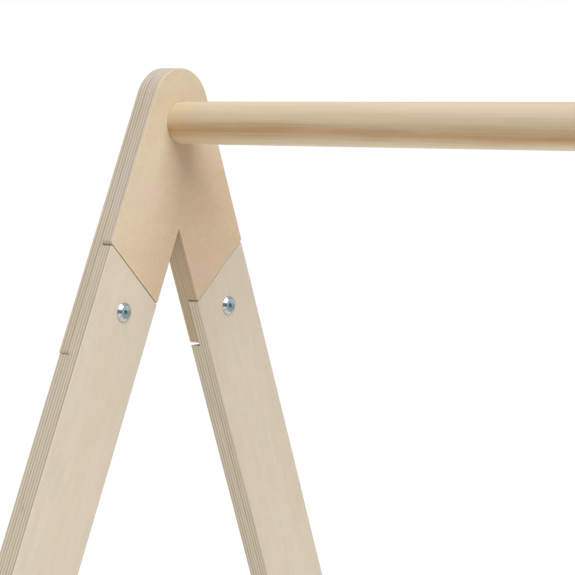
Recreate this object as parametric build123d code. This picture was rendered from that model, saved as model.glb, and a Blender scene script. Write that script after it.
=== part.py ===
from build123d import *
from math import atan2, cos, degrees, radians, sin, sqrt, tan
import os

# Free-standing kip bar: two plywood A-frames, a round wooden bar between their heads, and low rails
# that brace them. +X runs along the bar, +Y from front to rear, +Z up. The origin is on the floor,
# under the middle of the bar. Millimetres and degrees. A "drop" is a distance below the bar's axis.

# Overall
BAR_DIAMETER = 35.0
BAR_SPAN = 1200.0            # clear length between the two head plates
BAR_HEIGHT = 1100.0          # floor to the bar's axis
BOARD = 21.0                 # plywood thickness, fifteen veneers
LEG_LEAN = 22.5              # each leg's lean from the vertical
EDGE_ROUND = 1.0             # round-over along every handled edge
NOTCH_ROUND = 0.8            # lighter round-over inside the head's notch
SEAM_EASE = 0.2              # sanded edge of the leg's tongue, along the seam
SHOULDER_EASE = 0.5          # sanded edges either side of the gap under the head's tongue
CORNER_ROUND = 1.5           # corners of tongues, seen face on
SEAM_CORNER_ROUND = 3.0      # the head's corner at the seam's outer end

# Head plate: a gable with two arms, round on top and notched between the arms
HEAD_TOP_RADIUS = 34.0
HEAD_TOP_RISE = 11.0         # centre of the round top, above the bar's axis
HEAD_ARM_WIDTH = 71.8
HEAD_TONGUE_DROP = 185.6     # square end of the half-thickness tongue
BAR_SOCKET_DEPTH = 6.0
BAR_SOCKET_CLEARANCE = 0.15

# Half-lap between head and leg
SEAM_DROP = 123.3            # middle of the slanting seam on the inner face
SEAM_RISE = 42.6             # how steeply the seam rises outwards
SEAM_GAP = 0.7
SHOULDER_GAP_OUTER = 0.2     # under the tongue's end, at the leg's outer edge
SHOULDER_GAP_INNER = 2.7     # and at its inner edge
LAP_BOLT_DROP = 154.0

# Legs
LEG_WIDTH = 70.6
LEG_INSET = 1.2              # leg's outer edge, in from the head's
FOOT_THICKNESS = 6.0
FOOT_MARGIN = 1.5            # the pad's side stands in from the leg's by this much

# Tie rail, let into both legs of an A-frame
TIE_WIDTH = 70.0
TIE_HEIGHT = 190.0           # floor to the rail's centre line
TIE_GAP = 0.3

# Stretchers, between the two A-frames
STRETCHER_WIDTH = 100.0
STRETCHER_HEIGHT = 75.0
STRETCHER_BOLT_SPACING = 56.0

# Connector bolt and sleeve nut
BOLT_DIAMETER = 6.0
BOLT_HOLE = 6.6
HEAD_DIAMETER = 16.0
HEAD_FLAT = 10.5             # flat inside the head's sloping ring
HEAD_RIM = 0.8
HEAD_HEIGHT = 2.4
HEX_KEY = 4.0
HEX_DEPTH = 2.6
LAP_BOLT_LENGTH = 18.0
SLEEVE_DIAMETER = 9.0
SLEEVE_HOLE = 9.2
SLEEVE_LENGTH = 9.5
SLEEVE_BORE_END = 2.0        # solid metal left under the sleeve nut's head
LONG_BOLT_LENGTH = 60.0
BARREL_DIAMETER = 10.0
BARREL_LENGTH = 16.0
BARREL_HOLE = 10.3
BARREL_HOLE_DEPTH = 18.6
BARREL_INSET = 34.0          # from the stretcher's end to the barrel nut's axis
LONG_BORE_DEPTH = 46.0

# Bar bolt, washer and threaded insert
BAR_BOLT_DIAMETER = 8.0
BAR_BOLT_HOLE = 8.6
BAR_BOLT_LENGTH = 38.0
BAR_BOLT_HEAD = 18.0
BAR_BOLT_HEAD_FLAT = 12.0
WASHER_DIAMETER = 28.0
WASHER_THICKNESS = 2.0
INSERT_DIAMETER = 13.0
INSERT_LENGTH = 25.0
BAR_BORE_DEPTH = 32.0
BAR_END_CHAMFER = 1.0

# Foot screw
SCREW_DIAMETER = 4.5
SCREW_LENGTH = 30.0          # length in the leg's end
SCREW_HEAD_DIAMETER = 8.0
SCREW_HEAD_HEIGHT = 2.2
SCREW_RECESS_DIAMETER = 9.0
SCREW_RECESS_DEPTH = 3.0

# Worked out from the above
LEAN = radians(LEG_LEAN)
INNER = BAR_SPAN / 2         # inner face of an A-frame
MIDDLE = INNER + BOARD / 2   # the plane where half-laps meet
OUTER = INNER + BOARD
UP_LEG = (-sin(LEAN), -cos(LEAN))        # ways along the rear arm's lines, as (y, drop)
DOWN_LEG = (sin(LEAN), cos(LEAN))
UP_SEAM = (cos(radians(SEAM_RISE)), -sin(radians(SEAM_RISE)))
DOWN_SEAM = (-cos(radians(SEAM_RISE)), sin(radians(SEAM_RISE)))
BEYOND = 40.0                # how far a cutter reaches past what it cuts
FROM_BASE = (Align.CENTER, Align.CENTER, Align.MIN)

FRAMES = {"left": -1, "right": 1}
SPREADS = {"front": -1, "rear": 1}


def edge_y(inward, drop):
    """y of a line that leans with the leg, `inward` from the head's outer edge, at a given drop."""
    return (HEAD_TOP_RADIUS - inward) / cos(LEAN) + tan(LEAN) * (HEAD_TOP_RISE + drop)


LEG_OUTER_LINE = LEG_INSET
LEG_AXIS_LINE = LEG_INSET + LEG_WIDTH / 2
LEG_INNER_LINE = LEG_INSET + LEG_WIDTH


def leg_axis(drop):
    """The point (y, z) on the rear leg's centre line at a given drop."""
    return edge_y(LEG_AXIS_LINE, drop), BAR_HEIGHT - drop


def plate(points, near, far):
    """A prism between two x planes, with a closed outline of (y, drop) corners."""
    outline = Polyline(*[(y, BAR_HEIGHT - drop) for y, drop in points], close=True)
    return extrude(Plane.YZ.offset(near) * make_face(outline), amount=far - near)


def rod_x(diameter, near, far, y, z):
    """A round rod along X."""
    return Location((near, y, z), (0, 90, 0)) * Cylinder(diameter / 2, far - near, align=FROM_BASE)


def round_outline(board):
    """Rounds over the outline of a board on both of its faces."""
    edges = board.edges().filter_by_position(Axis.X, INNER, INNER)
    edges += board.edges().filter_by_position(Axis.X, OUTER, OUTER)
    return fillet(edges, EDGE_ROUND)


def copy_to(shape, frame, spread=1):
    """Mirrors a piece made for the right-hand rear corner to its own corner."""
    if frame < 0:
        shape = mirror(shape, about=Plane.YZ)
    if spread < 0:
        shape = mirror(shape, about=Plane.XZ)
    return shape


def seam_line(gap, reach=BEYOND):
    """Two (y, drop) points on the rear arm's slanting seam, `gap` below the head's own edge."""
    middle_y = (edge_y(0, SEAM_DROP) + edge_y(HEAD_ARM_WIDTH, SEAM_DROP)) / 2
    rise = tan(radians(SEAM_RISE))
    half = HEAD_ARM_WIDTH / 2 + reach
    fall = gap / cos(radians(SEAM_RISE))
    return [(middle_y + half * side, SEAM_DROP + fall - half * side * rise) for side in (1, -1)]


def eased_edge(one, other, x, ease):
    """What sanding takes off a board's straight edge between two (y, drop) points, on the face at x."""
    run, fall = one[0] - other[0], one[1] - other[1]
    side = ease * sqrt(2)
    strip = Rot(0, 45, 0) * Box(side, sqrt(run**2 + fall**2), side)
    middle = (x, (one[0] + other[0]) / 2, BAR_HEIGHT - (one[1] + other[1]) / 2)
    return Location(middle, (degrees(atan2(-fall, run)), 0, 0)) * strip


# Head plate

def head_blank():
    arm_end = HEAD_TONGUE_DROP + BEYOND
    shoulder = (HEAD_TOP_RADIUS * cos(LEAN), BAR_HEIGHT + HEAD_TOP_RISE + HEAD_TOP_RADIUS * sin(LEAN))
    crown = (0, BAR_HEIGHT + HEAD_TOP_RISE + HEAD_TOP_RADIUS)
    foot = (edge_y(0, arm_end), BAR_HEIGHT - arm_end)

    def across(point):
        return (-point[0], point[1])

    top = ThreePointArc(across(shoulder), crown, shoulder)
    sides = Polyline(shoulder, foot, across(foot), across(shoulder))
    gable = round_outline(extrude(Plane.YZ.offset(INNER) * make_face(top + sides), amount=BOARD))

    apex = (HEAD_ARM_WIDTH - HEAD_TOP_RADIUS) / sin(LEAN) - HEAD_TOP_RISE
    under = arm_end + BEYOND
    half = edge_y(HEAD_ARM_WIDTH, under)
    gable -= plate([(0, apex), (half, under), (-half, under)], INNER - BEYOND, OUTER + BEYOND)
    return fillet(gable.edges().filter_by(on_notch), NOTCH_ROUND)


def on_notch(edge):
    """True for the notch's edges on the head's two faces."""
    middle = edge.center()
    on_side = abs(abs(middle.Y) - edge_y(HEAD_ARM_WIDTH, BAR_HEIGHT - middle.Z)) < 0.1
    return on_side and min(abs(middle.X - INNER), abs(middle.X - OUTER)) < 0.1


def below_seam(sign):
    """What the leg's tongue takes from the head's inner half, on one arm."""
    high, low = seam_line(0)
    under = HEAD_TONGUE_DROP + 2 * BEYOND
    corners = [high, low, (low[0], under), (high[0], under)]
    return plate([(sign * y, drop) for y, drop in corners], INNER - BEYOND, MIDDLE)


def rounded_off(sign, corner, one_way, other_way, radius, near, far):
    """What rounding takes off a board's corner (y, drop), whose two sides run along the given ways."""
    corner, one_way, other_way = Vector(*corner), Vector(*one_way), Vector(*other_way)
    half_angle = radians(one_way.get_angle(other_way)) / 2
    reach = radius / tan(half_angle)
    centre = corner + (one_way + other_way).normalized() * radius / sin(half_angle)
    kite = [corner, corner + one_way * reach, centre, corner + other_way * reach]
    tip = plate([(sign * point.X, point.Y) for point in kite], near, far)
    return tip - rod_x(2 * radius, near - 1, far + 1, sign * centre.X, BAR_HEIGHT - centre.Y)


def seam_end(gap, inward):
    """Where the seam crosses a line that leans with the leg, as (y, drop)."""
    (high_y, high_drop), (low_y, low_drop) = seam_line(gap)
    slope = (low_drop - high_drop) / (high_y - low_y)
    y = (edge_y(inward, high_drop) + tan(LEAN) * slope * high_y) / (1 + tan(LEAN) * slope)
    return y, high_drop + slope * (high_y - y)


def head_plate():
    head = head_blank()
    wide = edge_y(0, HEAD_TONGUE_DROP) + BEYOND
    under = HEAD_TONGUE_DROP + 2 * BEYOND
    ends = [(-wide, HEAD_TONGUE_DROP), (wide, HEAD_TONGUE_DROP), (wide, under), (-wide, under)]
    head -= plate(ends, INNER - BEYOND, OUTER + BEYOND)
    head -= eased_edge((wide, HEAD_TONGUE_DROP), (-wide, HEAD_TONGUE_DROP), OUTER, SHOULDER_EASE)
    for sign in SPREADS.values():
        for inward, along_end in ((0, -1), (HEAD_ARM_WIDTH, 1)):
            corner = (edge_y(inward, HEAD_TONGUE_DROP), HEAD_TONGUE_DROP)
            end_way = (along_end, 0)
            head -= rounded_off(sign, corner, UP_LEG, end_way, CORNER_ROUND, MIDDLE, OUTER + 1)
        arm_side = Box(10 * BEYOND, 10 * BEYOND, 20 * BEYOND)
        head -= below_seam(sign) & Pos(MIDDLE, sign * 5 * BEYOND, BAR_HEIGHT) * arm_side
        outer_end, inner_end = seam_end(0, 0), seam_end(0, HEAD_ARM_WIDTH)
        head -= rounded_off(sign, outer_end, UP_LEG, DOWN_SEAM, SEAM_CORNER_ROUND, INNER - 1, MIDDLE)
        head -= rounded_off(sign, inner_end, UP_LEG, UP_SEAM, CORNER_ROUND, INNER - 1, MIDDLE)
        y, z = leg_axis(LAP_BOLT_DROP)
        head -= rod_x(SLEEVE_HOLE, MIDDLE - 1, OUTER + 1, sign * y, z)
    socket = BAR_DIAMETER + 2 * BAR_SOCKET_CLEARANCE
    head -= rod_x(socket, INNER - 1, INNER + BAR_SOCKET_DEPTH, 0, BAR_HEIGHT)
    head -= rod_x(BAR_BOLT_HOLE, INNER, OUTER + 1, 0, BAR_HEIGHT)
    return head


# Legs

def leg():
    floor_drop = BAR_HEIGHT - FOOT_THICKNESS
    top = SEAM_DROP - BEYOND
    corners = [
        (edge_y(LEG_OUTER_LINE, top), top),
        (edge_y(LEG_OUTER_LINE, floor_drop), floor_drop),
        (edge_y(LEG_INNER_LINE, floor_drop), floor_drop),
        (edge_y(LEG_INNER_LINE, top), top),
    ]
    board = round_outline(plate(corners, INNER, OUTER))

    high, low = seam_line(SEAM_GAP)
    over = SEAM_DROP - 4 * BEYOND
    board -= plate([high, low, (low[0], over), (high[0], over)], INNER - BEYOND, MIDDLE)
    board -= eased_edge(high, low, INNER, SEAM_EASE)
    outer_end, inner_end = seam_end(SEAM_GAP, LEG_OUTER_LINE), seam_end(SEAM_GAP, LEG_INNER_LINE)
    board -= rounded_off(1, outer_end, DOWN_LEG, DOWN_SEAM, CORNER_ROUND, INNER - 1, MIDDLE)
    board -= rounded_off(1, inner_end, DOWN_LEG, UP_SEAM, CORNER_ROUND, INNER - 1, MIDDLE)

    inner_y = edge_y(LEG_INNER_LINE, HEAD_TONGUE_DROP)
    outer_y = edge_y(LEG_OUTER_LINE, HEAD_TONGUE_DROP)
    slope = (SHOULDER_GAP_INNER - SHOULDER_GAP_OUTER) / (outer_y - inner_y)
    reach = 2 * BEYOND
    near = (inner_y - reach, HEAD_TONGUE_DROP + SHOULDER_GAP_INNER + slope * reach)
    far = (outer_y + reach, HEAD_TONGUE_DROP + SHOULDER_GAP_OUTER - slope * reach)
    board -= plate([near, far, (far[0], over), (near[0], over)], MIDDLE, OUTER + BEYOND)
    board -= eased_edge(far, near, OUTER, SHOULDER_EASE)

    tie_drop = BAR_HEIGHT - TIE_HEIGHT
    half = TIE_WIDTH / 2 + TIE_GAP
    near_y = edge_y(LEG_INNER_LINE, tie_drop) - BEYOND
    far_y = edge_y(LEG_OUTER_LINE, tie_drop) + BEYOND
    over, under = tie_drop - half, tie_drop + half
    board -= plate([(near_y, over), (far_y, over), (far_y, under), (near_y, under)], MIDDLE, OUTER + BEYOND)

    for drop in (LAP_BOLT_DROP, tie_drop):
        board -= rod_x(BOLT_HOLE, INNER - 1, OUTER + 1, *leg_axis(drop))
    for y, z in stretcher_bolt_places():
        board -= rod_x(BOLT_HOLE, INNER - 1, OUTER + 1, y, z)
    foot_y, foot_z = leg_axis(floor_drop)
    board -= Pos(MIDDLE, foot_y, foot_z - 1) * Cylinder(SCREW_DIAMETER / 2, SCREW_LENGTH + 1, align=FROM_BASE)
    return board


def foot_pad():
    y, z = leg_axis(BAR_HEIGHT - FOOT_THICKNESS)
    length = LEG_WIDTH / cos(LEAN) - 2 * FOOT_MARGIN
    width = BOARD - 2 * FOOT_MARGIN
    block = Box(width, length, FOOT_THICKNESS, align=FROM_BASE)
    block = fillet(block.edges().filter_by(Axis.Z), 3.0)
    block = fillet(block.faces().sort_by(Axis.Z)[0].edges(), 1.0)
    block -= Cylinder(SCREW_RECESS_DIAMETER / 2, SCREW_RECESS_DEPTH, align=FROM_BASE)
    block -= Cylinder(SCREW_DIAMETER / 2, FOOT_THICKNESS, align=FROM_BASE)
    return Pos(MIDDLE, y, 0) * block


def foot_screw():
    y, z = leg_axis(BAR_HEIGHT - FOOT_THICKNESS)
    shank_length = FOOT_THICKNESS - SCREW_RECESS_DEPTH + SCREW_LENGTH
    head = Cylinder(SCREW_HEAD_DIAMETER / 2, SCREW_HEAD_HEIGHT, align=FROM_BASE)
    head = fillet(head.faces().sort_by(Axis.Z)[0].edges(), 0.8)
    shank = Pos(0, 0, SCREW_HEAD_HEIGHT) * Cylinder(SCREW_DIAMETER / 2, shank_length, align=FROM_BASE)
    return Pos(MIDDLE, y, SCREW_RECESS_DEPTH - SCREW_HEAD_HEIGHT) * (head + shank)


# Tie rail

def tie_rail():
    middle = BAR_HEIGHT - TIE_HEIGHT
    top, bottom = middle - TIE_WIDTH / 2, middle + TIE_WIDTH / 2
    corners = [
        (-edge_y(LEG_OUTER_LINE, top), top),
        (edge_y(LEG_OUTER_LINE, top), top),
        (edge_y(LEG_OUTER_LINE, bottom), bottom),
        (-edge_y(LEG_OUTER_LINE, bottom), bottom),
    ]
    rail = round_outline(plate(corners, INNER, OUTER))
    for sign in SPREADS.values():
        over, under = top - BEYOND, bottom + BEYOND
        lap = [
            (edge_y(LEG_INNER_LINE, over) - TIE_GAP, over),
            (edge_y(LEG_INNER_LINE, over) + 3 * BEYOND, over),
            (edge_y(LEG_INNER_LINE, under) + 3 * BEYOND, under),
            (edge_y(LEG_INNER_LINE, under) - TIE_GAP, under),
        ]
        rail -= plate([(sign * y, drop) for y, drop in lap], INNER - BEYOND, MIDDLE)
        y, z = leg_axis(middle)
        rail -= rod_x(SLEEVE_HOLE, MIDDLE - 1, OUTER + 1, sign * y, z)
    return rail


# Stretchers

def stretcher_centre():
    """The middle of the rear stretcher, turned so that its board leans with the legs."""
    y, z = leg_axis(BAR_HEIGHT - STRETCHER_HEIGHT)
    return Location((0, y, z), (LEG_LEAN, 0, 0))


def stretcher_bolt_places():
    """The (y, z) of the bolts at one end of a stretcher."""
    y, z = leg_axis(BAR_HEIGHT - STRETCHER_HEIGHT)
    half = STRETCHER_BOLT_SPACING / 2
    return [(y - half * along * sin(LEAN), z + half * along * cos(LEAN)) for along in (-1, 1)]


def barrel_place(end, along):
    """A barrel nut's place in the stretcher's own frame: its axis runs through the board's thickness."""
    x = end * (INNER - BARREL_INSET)
    return Location((x, 0, along * STRETCHER_BOLT_SPACING / 2), (90, 0, 0))


def stretcher():
    board = Box(BAR_SPAN, BOARD, STRETCHER_WIDTH)
    board = fillet(board.edges().filter_by(Axis.X), EDGE_ROUND)
    for end in FRAMES.values():
        for along in (-1, 1):
            bore = Cylinder(BOLT_HOLE / 2, LONG_BORE_DEPTH, align=FROM_BASE)
            board -= Location((end * INNER, 0, along * STRETCHER_BOLT_SPACING / 2), (0, -90 * end, 0)) * bore
            pocket = Cylinder(BARREL_HOLE / 2, BARREL_HOLE_DEPTH, align=FROM_BASE)
            board -= barrel_place(end, along) * Pos(0, 0, BOARD / 2 - BARREL_HOLE_DEPTH) * pocket
    return stretcher_centre() * board


def barrel_nuts():
    nuts = []
    for along in (-1, 1):
        nut = Cylinder(BARREL_DIAMETER / 2, BARREL_LENGTH)
        nut -= Rot(0, 90, 0) * Cylinder(BOLT_DIAMETER / 2, 2 * BARREL_DIAMETER)
        nuts.append(stretcher_centre() * barrel_place(1, along) * nut)
    return Compound(children=nuts)


# Bolts and nuts: the underside of the head is at the origin, and the shank runs along +Z

def bolt_head(diameter, flat):
    rim = Cylinder(diameter / 2, HEAD_RIM, align=(Align.CENTER, Align.CENTER, Align.MAX))
    ring_height = HEAD_HEIGHT - HEAD_RIM
    ring = Pos(0, 0, -HEAD_HEIGHT) * Cone(flat / 2, diameter / 2, ring_height, align=FROM_BASE)
    return rim + ring


def hex_socket(key, depth):
    hexagon = RegularPolygon(key / 2, 6, major_radius=False)
    return Pos(0, 0, -HEAD_HEIGHT) * extrude(hexagon, amount=depth)


def connector_bolt(length, diameter=BOLT_DIAMETER, head=HEAD_DIAMETER, flat=HEAD_FLAT):
    shank = Cylinder(diameter / 2, length, align=FROM_BASE)
    shank = chamfer(shank.faces().sort_by(Axis.Z)[-1].edges(), 0.8)
    return bolt_head(head, flat) + shank - hex_socket(HEX_KEY * diameter / BOLT_DIAMETER, HEX_DEPTH)


def sleeve_nut():
    sleeve = Cylinder(SLEEVE_DIAMETER / 2, SLEEVE_LENGTH, align=FROM_BASE)
    bore = Pos(0, 0, SLEEVE_BORE_END) * Cylinder(BOLT_DIAMETER / 2, SLEEVE_LENGTH, align=FROM_BASE)
    return bolt_head(HEAD_DIAMETER, HEAD_FLAT) + sleeve - bore - hex_socket(HEX_KEY, HEX_DEPTH)


def from_inside(y, z):
    return Location((INNER, y, z), (0, 90, 0))


def from_outside(y, z, stand_off=0.0):
    return Location((OUTER + stand_off, y, z), (0, -90, 0))


def stretcher_bolts():
    places = stretcher_bolt_places()
    return Compound(children=[from_outside(y, z) * connector_bolt(LONG_BOLT_LENGTH) for y, z in places])


# Bar and its fixings

def bar():
    half = INNER + BAR_SOCKET_DEPTH
    rod = rod_x(BAR_DIAMETER, -half, half, 0, BAR_HEIGHT)
    rod = chamfer(rod.edges().filter_by(GeomType.CIRCLE), BAR_END_CHAMFER)
    for end in FRAMES.values():
        near, far = sorted((end * half, end * (half - BAR_BORE_DEPTH)))
        rod -= rod_x(INSERT_DIAMETER, near, far, 0, BAR_HEIGHT)
    return rod


def bar_insert():
    near = INNER + BAR_SOCKET_DEPTH - INSERT_LENGTH
    far = INNER + BAR_SOCKET_DEPTH
    bore = rod_x(BAR_BOLT_DIAMETER, near, far, 0, BAR_HEIGHT)
    return rod_x(INSERT_DIAMETER, near, far, 0, BAR_HEIGHT) - bore


def bar_washer():
    disc = Cylinder(WASHER_DIAMETER / 2, WASHER_THICKNESS, align=FROM_BASE)
    disc = fillet(disc.faces().sort_by(Axis.Z)[-1].edges(), 0.5)
    disc -= Cylinder(BAR_BOLT_HOLE / 2, WASHER_THICKNESS, align=FROM_BASE)
    return Location((OUTER, 0, BAR_HEIGHT), (0, 90, 0)) * disc


def bar_bolt():
    bolt = connector_bolt(BAR_BOLT_LENGTH, BAR_BOLT_DIAMETER, BAR_BOLT_HEAD, BAR_BOLT_HEAD_FLAT)
    return from_outside(0, BAR_HEIGHT, WASHER_THICKNESS) * bolt


def save(shape, name):
    export_step(shape, f"parts/{name}.step")


def main():
    os.makedirs("parts", exist_ok=True)
    save(bar(), "bar")

    per_frame = {
        "head_plate": head_plate(),
        "tie_rail": tie_rail(),
        "bar_insert": bar_insert(),
        "bar_washer": bar_washer(),
        "bar_bolt": bar_bolt(),
    }
    lap, tie = leg_axis(LAP_BOLT_DROP), leg_axis(BAR_HEIGHT - TIE_HEIGHT)
    per_corner = {
        "leg": leg(),
        "foot_pad": foot_pad(),
        "foot_screw": foot_screw(),
        "lap_bolt": from_inside(*lap) * connector_bolt(LAP_BOLT_LENGTH),
        "lap_nut": from_outside(*lap) * sleeve_nut(),
        "tie_bolt": from_inside(*tie) * connector_bolt(LAP_BOLT_LENGTH),
        "tie_nut": from_outside(*tie) * sleeve_nut(),
        "stretcher_bolts": stretcher_bolts(),
        "barrel_nuts": barrel_nuts(),
    }
    for frame, frame_sign in FRAMES.items():
        for name, shape in per_frame.items():
            save(copy_to(shape, frame_sign), f"{name}_{frame}")
        for spread, spread_sign in SPREADS.items():
            for name, shape in per_corner.items():
                save(copy_to(shape, frame_sign, spread_sign), f"{name}_{frame}_{spread}")
    long_board = stretcher()
    for spread, spread_sign in SPREADS.items():
        save(copy_to(long_board, 1, spread_sign), f"stretcher_{spread}")


main()
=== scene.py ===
from math import cos, pi, radians, sin

import bmesh
import bpy
from mathutils import Matrix, Vector


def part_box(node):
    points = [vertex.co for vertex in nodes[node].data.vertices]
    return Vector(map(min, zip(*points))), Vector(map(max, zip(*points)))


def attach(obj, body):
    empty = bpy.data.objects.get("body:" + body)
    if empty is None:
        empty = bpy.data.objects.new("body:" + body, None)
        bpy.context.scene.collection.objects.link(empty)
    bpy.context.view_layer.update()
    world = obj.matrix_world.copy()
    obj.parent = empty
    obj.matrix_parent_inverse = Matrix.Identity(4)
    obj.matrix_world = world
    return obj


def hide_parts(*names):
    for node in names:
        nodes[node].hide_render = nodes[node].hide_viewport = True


# A free-standing kip bar in birch plywood. +X runs along the bar, +Y from front to rear, +Z up; metres.
# The CAD boards, bar, washers and pads keep their shapes and get procedural materials here. The bolts and
# nuts are rebuilt with rounded rings, dished faces and hexagon sockets.

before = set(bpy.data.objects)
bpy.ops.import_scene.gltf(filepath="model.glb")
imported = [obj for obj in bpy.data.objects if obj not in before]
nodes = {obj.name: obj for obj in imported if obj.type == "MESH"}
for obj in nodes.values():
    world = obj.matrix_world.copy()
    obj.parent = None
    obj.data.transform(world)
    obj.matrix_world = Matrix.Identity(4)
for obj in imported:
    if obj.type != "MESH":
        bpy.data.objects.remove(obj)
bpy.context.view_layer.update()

MM = 0.001
LEAN = radians(22.5)
FRAMES = {"left": -1, "right": 1}
SPREADS = {"front": -1, "rear": 1}


def middle(node):
    low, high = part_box(node)
    return (low + high) / 2


BAR_Z = middle("bar").z
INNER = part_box("head_plate_right")[0].x
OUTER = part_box("head_plate_right")[1].x
BOARD = (OUTER - INNER) / MM         # board and veneer thicknesses are in millimetres
VENEER_COUNT = 15
FACE_PLY = 0.95                      # the two sanded face veneers are thinner than those between them
PLY = (BOARD - 2 * FACE_PLY) / (VENEER_COUNT - 2)


# Camera, light and floor

LENS = 127.75                        # in millimetres, as the sensor's width is
SENSOR_WIDTH = 36.0
CAMERA_FROM_HEAD = 1.11571           # from the left head plate's inner face, along the bar
CAMERA_TO_FRONT = 1.27295
CAMERA_BELOW_BAR = 0.02729
HEADING, PITCH, ROLL = radians(38.16), radians(3.62), radians(1.31)

UP = (0.0, 0.0, 1.0)
FLAG = (0.985, -0.16, -0.06)         # towards a black flag, which the bolts' rings reflect
CARD = (0.617, 0.785, -0.063)        # towards a grey card, which the bolts' flats reflect
FLAG_STRENGTH = 0.08
CARD_STRENGTH = 0.6
ROOM_LOW, ROOM_HIGH = 0.24, 0.7      # the room's strength near the horizon and overhead
FILL_TINT = (1.07, 0.92, 0.81, 1.0)
KEY = (0.66, -0.17, 0.74)            # towards the key light
KEY_STRENGTH = 2.9
KEY_ANGLE = radians(48)              # how wide the key light looks
KEY_TINT = (0.81, 0.92, 1.0)

FLOOR_REACH = 4.0
FLOOR_BOUNCE = (0.87, 0.85, 0.82, 1.0)
FLOOR_SEEN = (0.95, 0.98, 1.0, 1.0)


def place_camera():
    """Looks at the left head plate from inside the frame, from a little below the bar."""
    camera = bpy.data.cameras.new("camera")
    camera.lens = LENS
    camera.sensor_width = SENSOR_WIDTH
    camera.clip_start = 0.05
    camera.clip_end = 200.0
    viewer = bpy.data.objects.new("camera", camera)
    bpy.context.scene.collection.objects.link(viewer)
    turn = Matrix.Rotation(HEADING, 4, "Z")
    turn = turn @ Matrix.Rotation(pi / 2 - PITCH, 4, "X") @ Matrix.Rotation(ROLL, 4, "Z")
    place = (CAMERA_FROM_HEAD - INNER, -CAMERA_TO_FRONT, BAR_Z - CAMERA_BELOW_BAR)
    viewer.matrix_world = Matrix.Translation(place) @ turn
    bpy.context.scene.camera = viewer


def sun_light(name, towards, strength, angle, tint):
    """Parallel light that comes from the direction `towards`."""
    light = bpy.data.lights.new(name, "SUN")
    light.energy = strength
    light.angle = angle
    light.color = tint
    lamp = bpy.data.objects.new(name, light)
    bpy.context.scene.collection.objects.link(lamp)
    lamp.rotation_euler = Vector(towards).to_track_quat("Z", "Y").to_euler()


def light_the_room():
    """A studio that is white to look at, with a warm fill that is dimmer low down, and one big cool key
    light. Only reflections show the grey card."""
    world = bpy.data.worlds.new("studio")
    bpy.context.scene.world = world
    world.use_nodes = True
    tree = world.node_tree
    background = tree.nodes["Background"]
    rays = tree.nodes.new("ShaderNodeLightPath").outputs
    direction = tree.nodes.new("ShaderNodeTexCoord").outputs["Generated"]

    def by_angle(way, low, high, to_low, to_high):
        """A value that changes with the angle from one direction."""
        dot = tree.nodes.new("ShaderNodeVectorMath")
        dot.operation = "DOT_PRODUCT"
        tree.links.new(direction, dot.inputs[0])
        dot.inputs[1].default_value = way
        fade = tree.nodes.new("ShaderNodeMapRange")
        tree.links.new(dot.outputs["Value"], fade.inputs["Value"])
        for name, value in zip(("From Min", "From Max", "To Min", "To Max"), (low, high, to_low, to_high)):
            fade.inputs[name].default_value = value
        return fade.outputs["Result"]

    def combine(operation, one, other):
        node = tree.nodes.new("ShaderNodeMath")
        node.operation = operation
        tree.links.new(one, node.inputs[0])
        tree.links.new(other, node.inputs[1])
        return node.outputs[0]

    past_flag = by_angle(FLAG, 0.945, 0.975, 1.0, FLAG_STRENGTH)
    room = combine("MULTIPLY", by_angle(UP, 0.1, 0.9, ROOM_LOW, ROOM_HIGH), past_flag)
    card = combine("MULTIPLY", by_angle(CARD, 0.75, 0.95, 0.0, CARD_STRENGTH), rays["Is Glossy Ray"])
    lit = combine("MAXIMUM", room, card)
    tree.links.new(combine("MAXIMUM", lit, rays["Is Camera Ray"]), background.inputs["Strength"])
    tint = tree.nodes.new("ShaderNodeMix")
    tint.data_type = "RGBA"
    tree.links.new(rays["Is Diffuse Ray"], tint.inputs["Factor"])
    plain, warm = [socket for socket in tint.inputs if socket.type == "RGBA"]
    plain.default_value = (1.0, 1.0, 1.0, 1.0)
    warm.default_value = FILL_TINT
    mixed = [socket for socket in tint.outputs if socket.type == "RGBA"][0]
    tree.links.new(mixed, background.inputs["Color"])
    sun_light("key", KEY, KEY_STRENGTH, KEY_ANGLE, KEY_TINT)
    bpy.context.scene.view_settings.view_transform = "Standard"
    bpy.context.scene.view_settings.look = "None"


def lay_floor():
    """A pale floor that is white to look at, and throws a little warmth up on the object."""
    bm = bmesh.new()
    corners = [(x * FLOOR_REACH, y * FLOOR_REACH, 0.0) for x, y in ((-1, -1), (1, -1), (1, 1), (-1, 1))]
    bm.faces.new([bm.verts.new(corner) for corner in corners])
    mesh = bpy.data.meshes.new("floor")
    bm.to_mesh(mesh)
    bm.free()
    floor = bpy.data.objects.new("floor", mesh)
    bpy.context.scene.collection.objects.link(floor)
    paint = Graph("floor_paint")
    looked_at = paint.add("ShaderNodeLightPath").outputs["Is Camera Ray"]
    paint.feed(paint.shader["Base Color"], paint.mix(looked_at, FLOOR_BOUNCE, FLOOR_SEEN))
    paint.shader["Roughness"].default_value = 0.9
    paint.shader["Specular IOR Level"].default_value = 0.1
    mesh.materials.append(paint.material)


# Materials

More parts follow.
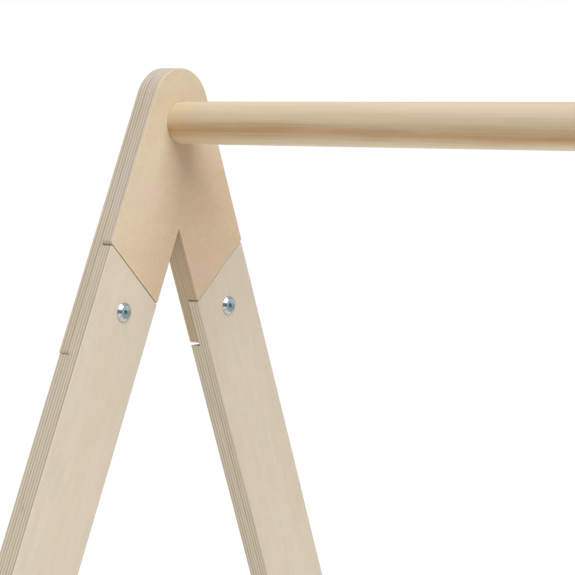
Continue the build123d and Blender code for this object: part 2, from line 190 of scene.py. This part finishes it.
class Graph:
    """One node material. Each method adds a node and returns its output socket."""

    def __init__(self, name):
        self.material = bpy.data.materials.new(name)
        self.material.use_nodes = True
        self.tree = self.material.node_tree
        self.shader = self.tree.nodes["Principled BSDF"].inputs

    def add(self, kind, **settings):
        node = self.tree.nodes.new(kind)
        for key, value in settings.items():
            setattr(node, key, value)
        return node

    def feed(self, socket, value):
        if isinstance(value, bpy.types.NodeSocket):
            self.tree.links.new(value, socket)
        else:
            socket.default_value = value

    def math(self, operation, *values):
        node = self.add("ShaderNodeMath", operation=operation)
        for socket, value in zip(node.inputs, values):
            self.feed(socket, value)
        return node.outputs[0]

    def map(self, value, low, high, to_low=0.0, to_high=1.0):
        """Carries a value from one range to another, clamped."""
        node = self.add("ShaderNodeMapRange", clamp=True)
        for socket, number in zip(node.inputs, (value, low, high, to_low, to_high)):
            self.feed(socket, number)
        return node.outputs[0]

    def join(self, x, y, z):
        node = self.add("ShaderNodeCombineXYZ")
        for socket, value in zip(node.inputs, (x, y, z)):
            self.feed(socket, value)
        return node.outputs[0]

    def split(self, vector):
        node = self.add("ShaderNodeSeparateXYZ")
        self.feed(node.inputs[0], vector)
        return node.outputs

    def mix(self, factor, one, other, blend="MIX"):
        node = self.add("ShaderNodeMix", data_type="RGBA", blend_type=blend)
        self.feed(node.inputs["Factor"], factor)
        first, second = [socket for socket in node.inputs if socket.type == "RGBA"]
        self.feed(first, one)
        self.feed(second, other)
        return [socket for socket in node.outputs if socket.type == "RGBA"][0]

    def noise(self, vector, seed, detail=3.0, roughness=0.5, distortion=0.0):
        node = self.add("ShaderNodeTexNoise", noise_dimensions="4D")
        for key, value in (("Vector", vector), ("W", seed), ("Scale", 1.0), ("Detail", detail),
                           ("Roughness", roughness), ("Distortion", distortion)):
            self.feed(node.inputs[key], value)
        return node.outputs["Fac"]

    def stretched(self, place, scales, seed, **settings):
        """Noise over a place (x, y, z) in millimetres, with so many waves per millimetre each way."""
        scaled = [self.math("MULTIPLY", along, scale) for along, scale in zip(place, scales)]
        return self.noise(self.join(*scaled), seed, **settings)

    def chance(self, vector, seed):
        """A random number, the same all over each whole-number cell of the vector."""
        node = self.add("ShaderNodeTexWhiteNoise", noise_dimensions="4D")
        self.feed(node.inputs["Vector"], vector)
        self.feed(node.inputs["W"], seed)
        return node.outputs["Value"]

    def bump(self, height, strength, distance):
        node = self.add("ShaderNodeBump")
        self.feed(node.inputs["Strength"], strength)
        self.feed(node.inputs["Distance"], distance)
        self.feed(node.inputs["Height"], height)
        return node.outputs[0]

    def place_mm(self, tilt=0.0):
        """The place on the object in millimetres, turned about X, as three sockets."""
        mapping = self.add("ShaderNodeMapping", vector_type="POINT")
        self.feed(mapping.inputs["Vector"], self.add("ShaderNodeTexCoord").outputs["Object"])
        mapping.inputs["Rotation"].default_value = (tilt, 0.0, 0.0)
        mapping.inputs["Scale"].default_value = (1 / MM, 1 / MM, 1 / MM)
        return self.split(mapping.outputs[0])

    def facing(self, direction):
        """How squarely the surface faces along a direction, either way."""
        node = self.add("ShaderNodeVectorMath", operation="DOT_PRODUCT")
        self.feed(node.inputs[0], self.add("ShaderNodeNewGeometry").outputs["Normal"])
        node.inputs[1].default_value = direction
        return self.math("ABSOLUTE", node.outputs["Value"])


def tone(red, green, blue):
    """A colour as it looks on screen, 0 to 255, turned into linear light."""
    def one(value):
        value /= 255
        return value / 12.92 if value <= 0.04045 else ((value + 0.055) / 1.055) ** 2.4
    return (one(red), one(green), one(blue), 1.0)


# For each kind of board: its face's light and dark tone, and its flecks per millimetre along the grain
VENEERS = {
    "head": (tone(218, 200, 171), tone(205, 183, 153), 0.11),
    "leg": (tone(214, 203, 185), tone(202, 188, 169), 0.02),
    "rail": (tone(214, 200, 179), tone(204, 188, 165), 0.04),
}
REAR_EDGE_PAINTED_LIGHT = (1.09, 1.13, 1.15, 1.0)      # painted light: a rear leg's edges are multiplied by this, and are paler, as if lit more
PAINTED_SHADE_TINT = (0.94, 0.845, 0.80, 1.0)     # painted shade: a head plate's face is multiplied by this where it is painted darkest and brownest


def face_veneer(g, a, b, tint, seed):
    """The lacquered face: broad clouds, soft figure, curly mottle, fine fibres and short dark pores."""
    flat = (a, b, 0.0)
    clouds = g.stretched(flat, (0.010, 0.020, 0.0), seed, roughness=0.55, distortion=0.4)
    figure = g.stretched(flat, (0.012, 0.11, 0.0), seed + 1, detail=4.0, roughness=0.6, distortion=0.8)
    light, dark, flecks = VENEERS[tint]
    mottle = g.stretched(flat, (flecks, 0.13, 0.0), seed + 9, detail=4.0, roughness=0.65, distortion=1.6)
    fibres = g.stretched(flat, (0.05, 1.6, 0.0), seed + 2, roughness=0.6)
    pores = g.stretched(flat, (0.30, 3.2, 0.0), seed + 3, detail=1.0)
    rosy = g.stretched(flat, (0.020, 0.035, 0.0), seed + 4, detail=2.0)
    golden = g.stretched(flat, (0.003, 0.030, 0.0), seed + 10, detail=2.0)
    broad = g.math("ADD", g.map(clouds, 0.30, 0.70, 0.0, 0.35), g.map(figure, 0.30, 0.70, 0.0, 0.20))
    amount = g.math("ADD", broad, g.map(mottle, 0.36, 0.64, 0.0, 0.45))
    colour = g.mix(amount, light, dark)
    colour = g.mix(g.map(rosy, 0.42, 0.62, 0.0, 0.30), colour, tone(214, 189, 172))
    colour = g.mix(g.map(golden, 0.50, 0.62, 0.0, 0.30), colour, tone(206, 188, 152))
    colour = g.mix(g.map(fibres, 0.35, 0.75, 0.0, 0.14), colour, tone(176, 148, 114))
    pore = g.map(pores, 0.66, 0.78, 0.0, 0.25)
    return g.mix(pore, colour, tone(146, 116, 86)), fibres, pore


def cut_edge(g, a, b, c, layer, end_cut, seed):
    """The sawn edge: its veneers are light where the cut runs with their grain and darker across it."""
    length = g.math("ADD", a, b)
    alternate = g.math("MODULO", layer, 2.0)
    across = g.math("ABSOLUTE", g.math("SUBTRACT", alternate, end_cut))
    streak = g.stretched((length, c, layer), (0.020, 1.1, 0.0), seed + 5, detail=4.0, roughness=0.65)
    drift = g.stretched((length, layer, c), (0.012, 7.3, 0.0), seed + 6, detail=2.0)
    dots = g.stretched((length, c, layer), (0.6, 2.2, 0.0), seed + 7, detail=2.0, roughness=0.6)
    own = g.chance(g.join(layer, 0.0, 0.0), seed)
    with_grain = g.mix(g.map(streak, 0.30, 0.72), tone(232, 224, 207), tone(208, 196, 176))
    end_grain = g.mix(g.map(dots, 0.30, 0.70), tone(188, 175, 153), tone(166, 151, 127))
    colour = g.mix(g.math("MULTIPLY", across, g.map(own, 0.0, 1.0, 0.55, 1.0)), with_grain, end_grain)
    colour = g.mix(g.map(drift, 0.35, 0.68, 0.0, 0.55), colour, tone(208, 197, 178))
    from_glue = g.math("PINGPONG", g.math("SUBTRACT", c, FACE_PLY), PLY / 2)
    glue = g.map(from_glue, 0.04, 0.14, 0.35, 0.0)
    colour = g.mix(glue, colour, tone(134, 114, 90))
    gaps = g.stretched((length, layer, 0.0), (0.035, 5.1, 0.0), seed + 8, detail=0.0)
    gap = g.math("MULTIPLY", g.map(gaps, 0.76, 0.80, 0.0, 0.6), across)
    return g.mix(gap, colour, tone(120, 96, 72)), glue


def plywood(name, tint, measure, face_way, grain_way, seed, painted_shade=None, painted_light=None):
    """Lacquered birch plywood. `measure` gives the place on the board in millimetres: along the face grain,
    across it, and down through the board from one face. The last two arguments give painted shade, which
    makes a place darker and browner, and painted light, which brightens the edges."""
    g = Graph(name)
    a, b, c = measure(g)
    layer = g.math("CEIL", g.math("DIVIDE", g.math("SUBTRACT", c, FACE_PLY), PLY))
    end_cut = g.math("GREATER_THAN", g.facing(grain_way), 0.6)
    face, fibres, pore = face_veneer(g, a, b, tint, seed)
    edge, glue = cut_edge(g, a, b, c, layer, end_cut, seed)
    depth = g.math("ABSOLUTE", g.math("SUBTRACT", c, BOARD / 2))
    outermost = g.map(depth, BOARD / 2 - FACE_PLY, BOARD / 2 - FACE_PLY + 0.1)
    on_face = g.math("MULTIPLY", g.map(g.facing(face_way), 0.30, 0.75), outermost)
    # Painted light: the edges are brightened as if lit more.
    if painted_light:
        edge = g.mix(1.0, edge, painted_light, "MULTIPLY")
    # Painted shade: the face is darkened and browned, and the edges browned, where shade falls.
    if painted_shade:
        amount = painted_shade(g, a, b)
        face = g.mix(g.math("MULTIPLY", amount, 0.65), face, PAINTED_SHADE_TINT, "MULTIPLY")
        edge = g.mix(g.math("MULTIPLY", amount, 0.50), edge, tone(184, 156, 110))
    g.feed(g.shader["Base Color"], g.mix(on_face, edge, face))
    g.feed(g.shader["Roughness"], g.map(fibres, 0.3, 0.7, 0.44, 0.58))
    g.shader["Specular IOR Level"].default_value = 0.35
    g.shader["Coat Weight"].default_value = 0.08
    g.shader["Coat Roughness"].default_value = 0.4
    relief = g.math("SUBTRACT", g.math("MULTIPLY", fibres, 0.6), pore)
    sunk = g.math("MULTIPLY", glue, g.math("SUBTRACT", 1.0, on_face))
    g.feed(g.shader["Normal"], g.bump(g.math("SUBTRACT", relief, sunk), 0.35, 0.00012))
    return g.material


def painted_shade_towards_lower_rear(g, y, z):
    """Painted shade on a head plate: darker and browner towards its lower rear corner, below and behind the
    bar.
    """
    drop = g.math("SUBTRACT", BAR_Z / MM, z)
    return g.map(g.math("ADD", drop, g.math("MULTIPLY", y, 1.3)), -20.0, 100.0)


def bar_wood():
    """A turned, sanded and oiled bar: straight grain along X, with one browner stripe along its lower
    front, partly heartwood and partly painted shade, and painted shade near its ends.
    """
    g = Graph("bar_wood")
    x, y, z = g.place_mm()
    height = g.math("SUBTRACT", z, BAR_Z / MM)
    place = (x, y, z)
    rings = g.stretched(place, (0.0018, 0.10, 0.10), 2.0, detail=2.0, distortion=0.3)
    lines = g.stretched(place, (0.008, 0.45, 0.45), 4.0, detail=4.0, roughness=0.62, distortion=0.8)
    fibres = g.stretched(place, (0.05, 2.4, 2.4), 6.0, detail=2.0, roughness=0.6)
    sway = g.stretched(place, (0.009, 0.05, 0.05), 8.0, detail=3.0)
    # The stripe runs round the bar's lower front, where shade falls: partly heartwood, partly painted
    # shade.
    angle = g.math("ARCTAN2", height, g.math("MULTIPLY", y, -1.0))
    centre = g.map(x, -INNER / MM, -250.0, radians(-17), radians(-33))
    off = g.math("ADD", g.math("SUBTRACT", angle, centre), g.map(sway, 0.3, 0.7, -0.13, 0.13))
    patches = g.stretched(place, (0.014, 0.10, 0.10), 10.0, detail=3.0, roughness=0.6)
    near_centre = g.map(g.math("ABSOLUTE", off), 0.05, 0.50, 1.0, 0.0)
    stripe = g.math("MULTIPLY", near_centre, g.map(patches, 0.35, 0.65, 0.68, 0.98))
    colour = g.mix(g.map(rings, 0.30, 0.70), tone(226, 211, 183), tone(220, 202, 169))
    colour = g.mix(stripe, colour, tone(203, 165, 116))
    in_stripe = g.math("ADD", g.math("MULTIPLY", stripe, 0.45), 0.13)
    colour = g.mix(g.math("MULTIPLY", g.map(lines, 0.44, 0.64), in_stripe), colour, tone(176, 144, 102))
    colour = g.mix(g.map(fibres, 0.35, 0.75, 0.0, 0.12), colour, tone(168, 140, 104))
    # Painted shade and bounced light: darker and warmer within 45 mm of each end, where the bar meets a
    # head plate.
    painted_shade_near_end = g.map(g.math("ABSOLUTE", x), INNER / MM - 45, INNER / MM, 0.0, 0.30)
    colour = g.mix(painted_shade_near_end, colour, tone(214, 176, 126))
    g.feed(g.shader["Base Color"], colour)
    g.feed(g.shader["Roughness"], g.map(lines, 0.3, 0.7, 0.36, 0.50))
    g.shader["Specular IOR Level"].default_value = 0.4
    g.shader["Coat Weight"].default_value = 0.12
    g.shader["Coat Roughness"].default_value = 0.3
    g.feed(g.shader["Normal"], g.bump(g.math("ADD", lines, fibres), 0.25, 0.0001))
    return g.material


def zinc_plate():
    """Bright zinc plating, with satin flats where a surface faces along the bar."""
    g = Graph("zinc_plate")
    place = g.place_mm()
    patches = g.stretched(place, (0.35, 0.35, 0.35), 1.0, roughness=0.6)
    grit = g.stretched(place, (4.0, 4.0, 4.0), 3.0, detail=2.0, roughness=0.6)
    flat = g.map(g.facing((1, 0, 0)), 0.93, 0.985)
    bright = g.mix(g.map(patches, 0.3, 0.7), tone(212, 216, 220), tone(186, 194, 202))
    satin = g.mix(g.map(patches, 0.3, 0.7), tone(184, 204, 214), tone(152, 174, 186))
    g.feed(g.shader["Base Color"], g.mix(flat, bright, satin))
    g.shader["Metallic"].default_value = 1.0
    duller = g.math("MULTIPLY", flat, 0.2)
    g.feed(g.shader["Roughness"], g.math("ADD", g.map(patches, 0.3, 0.7, 0.08, 0.15), duller))
    g.feed(g.shader["Normal"], g.bump(grit, 0.08, 0.00005))
    return g.material


def socket_steel():
    """The dull inside of a hexagon socket, where little plating reaches."""
    g = Graph("socket_steel")
    specks = g.stretched(g.place_mm(), (1.5, 1.5, 1.5), 1.0, roughness=0.6)
    colour = g.mix(g.map(specks, 0.3, 0.7), tone(152, 184, 192), tone(112, 142, 150))
    g.feed(g.shader["Base Color"], colour)
    g.shader["Metallic"].default_value = 0.3
    g.feed(g.shader["Roughness"], g.map(specks, 0.3, 0.7, 0.35, 0.5))
    g.feed(g.shader["Normal"], g.bump(specks, 0.1, 0.00005))
    return g.material


def black_rubber():
    g = Graph("black_rubber")
    speckle = g.stretched(g.place_mm(), (1.4, 1.4, 1.4), 1.0, roughness=0.6)
    g.feed(g.shader["Base Color"], g.mix(g.map(speckle, 0.3, 0.7), tone(52, 52, 54), tone(34, 34, 35)))
    g.feed(g.shader["Roughness"], g.map(speckle, 0.3, 0.7, 0.6, 0.8))
    g.feed(g.shader["Normal"], g.bump(speckle, 0.3, 0.0003))
    return g.material


def dress(node, material):
    mesh = nodes[node].data
    mesh.materials.clear()
    mesh.materials.append(material)


def from_inner_face(g, x):
    return g.math("SUBTRACT", g.math("ABSOLUTE", x), INNER / MM)


def upright(tilt):
    """Measures a leg, whose grain runs up it."""
    def measure(g):
        x, y, z = g.place_mm(tilt)
        return z, y, from_inner_face(g, x)
    return measure


def level(g):
    """Measures a head plate or a tie rail, whose grain runs from front to rear."""
    x, y, z = g.place_mm()
    return y, z, from_inner_face(g, x)


def leaning(sign):
    """Measures a stretcher, which runs along X and leans with the legs."""
    centre = middle("stretcher_rear") / MM
    offset = centre.y * cos(LEAN) + centre.z * sin(LEAN)

    def measure(g):
        x, y, z = g.place_mm(-sign * LEAN)
        return x, z, g.math("ADD", g.math("MULTIPLY", y, sign), BOARD / 2 - offset)
    return measure


def paint_boards():
    seed = 10.0
    for side in FRAMES:
        # The head plates get painted shade towards their lower rear corners.
        head = plywood(f"head_ply_{side}", "head", level, (1, 0, 0), (0, 1, 0), seed, painted_shade_towards_lower_rear)
        dress(f"head_plate_{side}", head)
        rail = plywood(f"tie_ply_{side}", "rail", level, (1, 0, 0), (0, 1, 0), seed + 10)
        dress(f"tie_rail_{side}", rail)
        for spread, sign in SPREADS.items():
            seed += 20
            way = (0, sign * sin(LEAN), -cos(LEAN))
            # The rear legs' edges get painted light.
            painted_light = REAR_EDGE_PAINTED_LIGHT if spread == "rear" else None
            board = plywood(f"leg_ply_{side}_{spread}", "leg", upright(-sign * LEAN), (1, 0, 0), way, seed,
                            painted_light=painted_light)
            dress(f"leg_{side}_{spread}", board)
        seed += 20
    for spread, sign in SPREADS.items():
        way = (0, sign * cos(LEAN), sin(LEAN))
        board = plywood(f"stretcher_ply_{spread}", "rail", leaning(sign), way, (1, 0, 0), seed)
        dress(f"stretcher_{spread}", board)
        seed += 20


# Bolts and nuts

# Bolt and nut sizes are in millimetres.
TURNS = 72                           # faces round a turned piece
SOCKET_SLOT = 1                      # material slot of the faces inside a hexagon socket
CONNECTOR_RADIUS = 8.0
HEAD_HEIGHT = 2.4
HEAD_RIM = 0.8
FLAT_SUNK = 0.2
SOCKET_DEPTH = 2.6
THREAD_PITCH = 1.0
THREAD_DEPTH = 0.45
THREAD_END = -5.0                    # the shank is plain above this height
FIRST_SPIN, SPIN_STEP = radians(10), radians(23)     # each bolt stops at its own angle


def ring(bm, radius, height, hexagon=False):
    """One round or hexagonal row of points. A hexagon's radius is to its flats."""
    row = []
    for step in range(TURNS):
        angle = 2 * pi * step / TURNS
        reach = radius
        if hexagon:
            reach = radius / cos((angle + pi / 6) % (pi / 3) - pi / 6)
        row.append(bm.verts.new((reach * cos(angle) * MM, reach * sin(angle) * MM, height * MM)))
    return row


def turned(rows):
    """A closed turned solid from rows of (radius, height, hexagon), capped at both ends."""
    bm = bmesh.new()
    loops = [ring(bm, *row) for row in rows]
    for one, other, row in zip(loops, loops[1:], rows):
        for step in range(TURNS):
            after = (step + 1) % TURNS
            face = bm.faces.new((one[step], one[after], other[after], other[step]))
            face.material_index = SOCKET_SLOT if row[2:] else 0
    bm.faces.new(list(reversed(loops[0])))
    bm.faces.new(loops[-1]).material_index = SOCKET_SLOT
    bmesh.ops.recalc_face_normals(bm, faces=bm.faces)
    return bm


def head_rows(radius, flat_radius, key):
    """The head, from its underside up: rim, sloping ring, rounded crest, sunk flat, hexagon socket."""
    face = HEAD_HEIGHT - FLAT_SUNK
    return [
        (radius - 0.15, 0.0),
        (radius, 0.12),
        (radius, HEAD_RIM - 0.15),
        (radius - 0.12, HEAD_RIM),
        (flat_radius + 0.40, HEAD_HEIGHT - 0.22),
        (flat_radius + 0.20, HEAD_HEIGHT - 0.05),
        (flat_radius, HEAD_HEIGHT),
        (flat_radius - 0.20, HEAD_HEIGHT - 0.05),
        (flat_radius - 0.40, face + 0.04),
        (flat_radius - 0.55, face),
        (key / 2 + 0.45, face),
        (key / 2, face - 0.10, True),
        (key / 2, HEAD_HEIGHT - SOCKET_DEPTH, True),
    ]


def bolt_rows(length, shank, head):
    """A machine bolt, from the tip of its threaded shank up."""
    rows = [(shank / 2 - 0.8, -length), (shank / 2 - 0.1, -length + 0.8)]
    height = -length + 1.2
    while height < THREAD_END:
        rows += [(shank / 2 - THREAD_DEPTH, height), (shank / 2, height + THREAD_PITCH / 2)]
        height += THREAD_PITCH
    return rows + [(shank / 2, -0.2), (shank / 2 + 0.2, 0.0)] + head


def nut_rows(length, sleeve, bore, bore_end, head):
    """A sleeve nut, from the bottom of its bore, round the sleeve's mouth and up."""
    return [(bore / 2, -bore_end), (bore / 2, 0.4 - length), (bore / 2 + 0.4, -length),
            (sleeve / 2 - 0.3, -length), (sleeve / 2, 0.3 - length), (sleeve / 2, 0.0)] + head


CONNECTOR_HEAD = head_rows(CONNECTOR_RADIUS, flat_radius=5.25, key=4.0)
BAR_HEAD = head_rows(radius=9.0, flat_radius=6.0, key=4.0 * 8 / 6)
SHORT_BOLT = bolt_rows(length=18.0, shank=6.0, head=CONNECTOR_HEAD)
LONG_BOLT = bolt_rows(length=60.0, shank=6.0, head=CONNECTOR_HEAD)
BAR_BOLT = bolt_rows(length=38.0, shank=8.0, head=BAR_HEAD)
SLEEVE_NUT = nut_rows(length=9.5, sleeve=9.0, bore=6.0, bore_end=2.0, head=CONNECTOR_HEAD)


def make_hardware(name, rows, seats, spin, replaced):
    """Turned pieces in one mesh, each standing on its seat: a point and the way its head faces."""
    whole = bmesh.new()
    for place, way in seats:
        bm = turned(rows)
        stand = Matrix.Translation(place) @ Vector(way).to_track_quat("Z", "Y").to_matrix().to_4x4()
        bmesh.ops.transform(bm, matrix=stand @ Matrix.Rotation(spin, 4, "Z"), verts=bm.verts)
        copy = bpy.data.meshes.new("copy")
        bm.to_mesh(copy)
        bm.free()
        whole.from_mesh(copy)
        bpy.data.meshes.remove(copy)
    mesh = bpy.data.meshes.new(name)
    whole.to_mesh(mesh)
    whole.free()
    mesh.shade_smooth()
    mesh.set_sharp_from_angle(angle=radians(32))
    piece = bpy.data.objects.new(name, mesh)
    bpy.context.scene.collection.objects.link(piece)
    mesh.materials.append(zinc)
    mesh.materials.append(socket)
    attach(piece, "root")
    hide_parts(replaced)


def stretcher_bolt_seats(side, spread):
    """The two bolts stand one above the other on a leaning leg, in opposite corners of their box."""
    radius = CONNECTOR_RADIUS * MM
    low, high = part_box(f"stretcher_bolts_{side}_{spread}")
    ys = (low.y + radius, high.y - radius) if spread == "front" else (high.y - radius, low.y + radius)
    zs = (low.z + radius, high.z - radius)
    outwards = FRAMES[side]
    return [((outwards * OUTER, y, z), (outwards, 0, 0)) for y, z in zip(ys, zs)]


def place_hardware():
    spin = FIRST_SPIN
    for side, outwards in FRAMES.items():
        away = (outwards, 0, 0)
        washer_low, washer_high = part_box(f"bar_washer_{side}")
        seat = (washer_high.x if outwards > 0 else washer_low.x, 0.0, BAR_Z)
        make_hardware(f"bar_bolt_turned_{side}", BAR_BOLT, [(seat, away)], spin, f"bar_bolt_{side}")
        for spread in SPREADS:
            corner = f"{side}_{spread}"
            for joint in ("lap", "tie"):
                centre = middle(f"{joint}_bolt_{corner}")
                spin += SPIN_STEP
                seat = (outwards * INNER, centre.y, centre.z)
                inwards = (-outwards, 0, 0)
                make_hardware(f"{joint}_bolt_turned_{corner}", SHORT_BOLT, [(seat, inwards)], spin,
                              f"{joint}_bolt_{corner}")
                seat = (outwards * OUTER, centre.y, centre.z)
                make_hardware(f"{joint}_nut_turned_{corner}", SLEEVE_NUT, [(seat, away)], spin,
                              f"{joint}_nut_{corner}")
            seats = stretcher_bolt_seats(side, spread)
            make_hardware(f"stretcher_bolts_turned_{corner}", LONG_BOLT, seats, spin,
                          f"stretcher_bolts_{corner}")


place_camera()
light_the_room()
lay_floor()
paint_boards()
dress("bar", bar_wood())
zinc = zinc_plate()
socket = socket_steel()
rubber = black_rubber()
place_hardware()
for name in nodes:
    if name.startswith("foot_pad"):
        dress(name, rubber)
    elif name.startswith(("foot_screw", "barrel_nuts", "bar_insert", "bar_washer")):
        dress(name, zinc)
